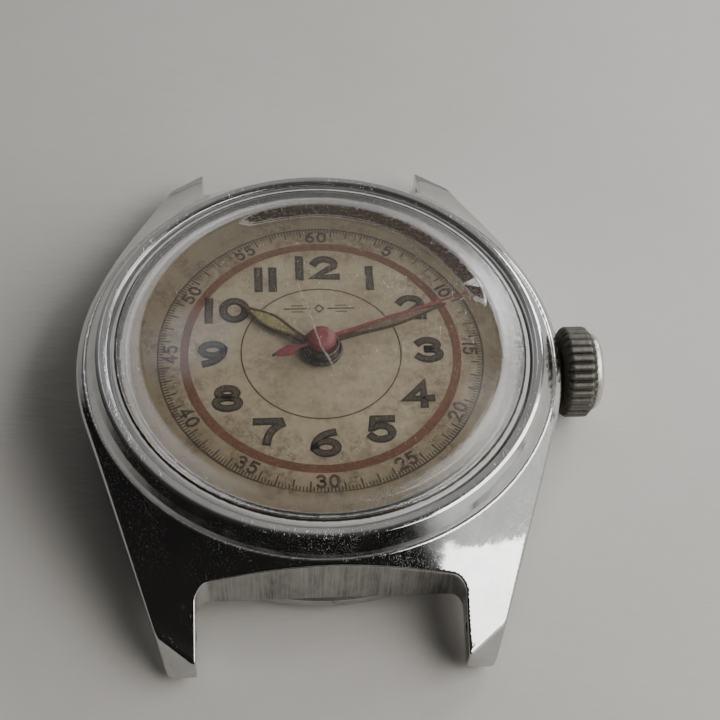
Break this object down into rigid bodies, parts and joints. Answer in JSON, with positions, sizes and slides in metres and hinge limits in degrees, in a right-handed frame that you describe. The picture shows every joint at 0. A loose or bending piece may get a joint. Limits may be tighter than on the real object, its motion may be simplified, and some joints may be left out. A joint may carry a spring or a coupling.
{
  "type": "mechanical wristwatch head",
  "caption": "Hand-wound centre-seconds wristwatch head: round polished case with four lugs, domed crystal, fluted crown, cream dial and three hands over a lever movement.",
  "frame": {"origin": "centre of the case back's flat resting face", "axes": "+Z out through the dial, +Y to 12 o'clock, +X to 3 o'clock and the crown"},
  "size_m": [0.0346, 0.039, 0.0092],
  "materials": {
    "polished_case": "polished, scratched and worn",
    "crystal": "domed acrylic, scuffed at the edge",
    "brushed_steel": "satin",
    "gasket": "matt",
    "movement_nickel": "nickel plate, satin",
    "dial_paint": "aged cream, matt",
    "hand_frame": "dark brown, worn",
    "seconds_red": "matt red",
    "crown_steel": "worn, dark flutes",
    "small_steel": "polished",
    "blued_steel": "tempered blue",
    "barrel_brass": "satin",
    "gilt_brass": "gilt",
    "ruby": "polished synthetic ruby"
  },
  "bodies": {
    "case": {"mid_case": "polished_case", "bezel": "polished_case", "crystal": "crystal", "case_back": "brushed_steel", "case_back_gasket": "gasket", "movement_ring": "movement_nickel", "dial": "dial_paint", "crown_tube": "small_steel", "yoke_spring": "blued_steel", "click_spring": "blued_steel", "main_plate": "movement_nickel", "barrel_bridge": "movement_nickel", "train_bridge": "movement_nickel", "balance_cock": "movement_nickel", "pallet_bridge": "movement_nickel", "regulator": "small_steel", "hairspring": "blued_steel", "cock_hole_jewel": "ruby", "cock_cap_jewel": "ruby", "plate_hole_jewel": "ruby", "plate_cap_jewel": "ruby", "barrel_bridge_screw_1": "blued_steel", "barrel_bridge_screw_2": "blued_steel", "barrel_bridge_screw_3": "blued_steel", "train_bridge_screw": "blued_steel", "balance_cock_screw": "blued_steel"},
    "seconds": {"seconds_hand": "seconds_red", "sweep_pinion": "small_steel"},
    "third": {"third_wheel": "gilt_brass", "sweep_driving_wheel": "gilt_brass"},
    "fourth": {"fourth_wheel": "gilt_brass"},
    "escape": {"escape_wheel": "gilt_brass"},
    "centre": {"centre_wheel": "gilt_brass", "cannon_pinion": "small_steel", "minute_hand": "hand_frame"},
    "minute_works": {"minute_wheel": "gilt_brass"},
    "hour": {"hour_wheel": "gilt_brass", "hour_hand": "hand_frame"},
    "barrel": {"barrel_drum": "barrel_brass", "barrel_cover": "barrel_brass", "mainspring": "blued_steel"},
    "setting_wheel": {"setting_wheel": "small_steel"},
    "balance": {"balance_wheel": "gilt_brass", "balance_staff": "small_steel", "roller_table": "gilt_brass", "impulse_jewel": "ruby"},
    "pallet": {"pallet_fork": "small_steel", "pallet_stone_entry": "ruby", "pallet_stone_exit": "ruby"},
    "winding_pinion": {"winding_pinion": "small_steel"},
    "crown_and_stem": {"crown": "crown_steel", "winding_stem": "small_steel"},
    "sliding_pinion": {"sliding_pinion": "small_steel"},
    "crown_wheel": {"crown_wheel": "small_steel"},
    "ratchet": {"ratchet_wheel": "small_steel", "barrel_arbor": "small_steel"},
    "click": {"click": "small_steel"},
    "setting_lever": {"setting_lever": "small_steel"},
    "yoke": {"yoke": "small_steel"}
  },
  "joints": [
    {"name": "seconds_turn", "type": "hinge", "parent": "case", "child": "seconds", "pos_m": [0, 0, 0.0072], "axis": [0, 0, -1], "continuous": true},
    {"name": "third_turn", "type": "hinge", "parent": "case", "child": "third", "pos_m": [-0.00039, -0.00448, 0.0027], "axis": [0, 0, -1], "continuous": true},
    {"name": "fourth_turn", "type": "hinge", "parent": "case", "child": "fourth", "pos_m": [-0.00353, -0.00668, 0.003], "axis": [0, 0, -1], "continuous": true},
    {"name": "escape_turn", "type": "hinge", "parent": "case", "child": "escape", "pos_m": [-0.00657, -0.00492, 0.0026], "axis": [0, 0, -1], "continuous": true},
    {"name": "minute_turn", "type": "hinge", "parent": "case", "child": "centre", "pos_m": [0, 0, 0.0069], "axis": [0, 0, -1], "continuous": true},
    {"name": "minute_wheel_turn", "type": "hinge", "parent": "case", "child": "minute_works", "pos_m": [0.00204, -0.00204, 0.0049], "axis": [0, 0, -1], "continuous": true},
    {"name": "hour_turn", "type": "hinge", "parent": "case", "child": "hour", "pos_m": [0, 0, 0.0064], "axis": [0, 0, -1], "continuous": true},
    {"name": "setting_wheel_turn", "type": "hinge", "parent": "case", "child": "setting_wheel", "pos_m": [0.00521, -0.00136, 0.0048], "axis": [0, 0, -1], "continuous": true},
    {"name": "barrel_turn", "type": "hinge", "parent": "case", "child": "barrel", "pos_m": [0.00287, 0.00497, 0.0035], "axis": [0, 0, -1], "continuous": true},
    {"name": "balance_swing", "type": "hinge", "parent": "case", "child": "balance", "pos_m": [-0.00748, 0.0002, 0.002], "axis": [0, 0, 1], "range_deg": [-270, 270], "stiffness_Nm_per_rad": 0.0000002},
    {"name": "pallet_swing", "type": "hinge", "parent": "case", "child": "pallet", "pos_m": [-0.00696, -0.00275, 0.0025], "axis": [0, 0, 1], "range_deg": [-5.4, 5.4]},
    {"name": "crown_turn", "type": "hinge", "parent": "case", "child": "winding_pinion", "pos_m": [0.01, 0, 0.0035], "axis": [1, 0, 0], "continuous": true},
    {"name": "crown_pull", "type": "slide", "parent": "winding_pinion", "child": "crown_and_stem", "axis": [1, 0, 0], "range_m": [0, 0.0008]},
    {"name": "sliding_pinion_slide", "type": "slide", "parent": "winding_pinion", "child": "sliding_pinion", "axis": [-1, 0, 0], "range_m": [0, 0.00081]},
    {"name": "crown_wheel_turn", "type": "hinge", "parent": "case", "child": "crown_wheel", "pos_m": [0.00721, 0, 0.0013], "axis": [0, 0, 1], "continuous": true},
    {"name": "ratchet_turn", "type": "hinge", "parent": "case", "child": "ratchet", "pos_m": [0.00287, 0.00497, 0.0011], "axis": [0, 0, 1], "continuous": true},
    {"name": "click_lift", "type": "hinge", "parent": "case", "child": "click", "pos_m": [-0.0026, 0.0066, 0.0011], "axis": [0, 0, 1], "range_deg": [0, 12], "stiffness_Nm_per_rad": 0.0000002},
    {"name": "setting_lever_turn", "type": "hinge", "parent": "case", "child": "setting_lever", "pos_m": [0.0113, -0.0024, 0.0048], "axis": [0, 0, -1], "range_deg": [0, 19.1]},
    {"name": "yoke_turn", "type": "hinge", "parent": "case", "child": "yoke", "pos_m": [0.00745, -0.0039, 0.0048], "axis": [0, 0, 1], "range_deg": [0, 11.9]}
  ],
  "couplings": [
    {"joint": "third_turn", "follows": "seconds_turn", "ratio": -0.13333},
    {"joint": "fourth_turn", "follows": "seconds_turn", "ratio": 1},
    {"joint": "escape_turn", "follows": "seconds_turn", "ratio": -10},
    {"joint": "minute_turn", "follows": "seconds_turn", "ratio": 0.016667},
    {"joint": "minute_wheel_turn", "follows": "seconds_turn", "ratio": -0.0055556},
    {"joint": "hour_turn", "follows": "seconds_turn", "ratio": 0.0013889},
    {"joint": "setting_wheel_turn", "follows": "seconds_turn", "ratio": 0.011111},
    {"joint": "barrel_turn", "follows": "seconds_turn", "ratio": -0.0023148},
    {"joint": "pallet_swing", "follows": "balance_swing", "ratio": -0.018519},
    {"joint": "sliding_pinion_slide", "follows": "crown_pull", "ratio": 1},
    {"joint": "crown_wheel_turn", "follows": "crown_turn", "ratio": 0.53571},
    {"joint": "ratchet_turn", "follows": "crown_turn", "ratio": -0.39474},
    {"joint": "setting_lever_turn", "follows": "crown_pull", "rad_per_m": 412.5},
    {"joint": "yoke_turn", "follows": "crown_pull", "rad_per_m": 255.6}
  ]
}
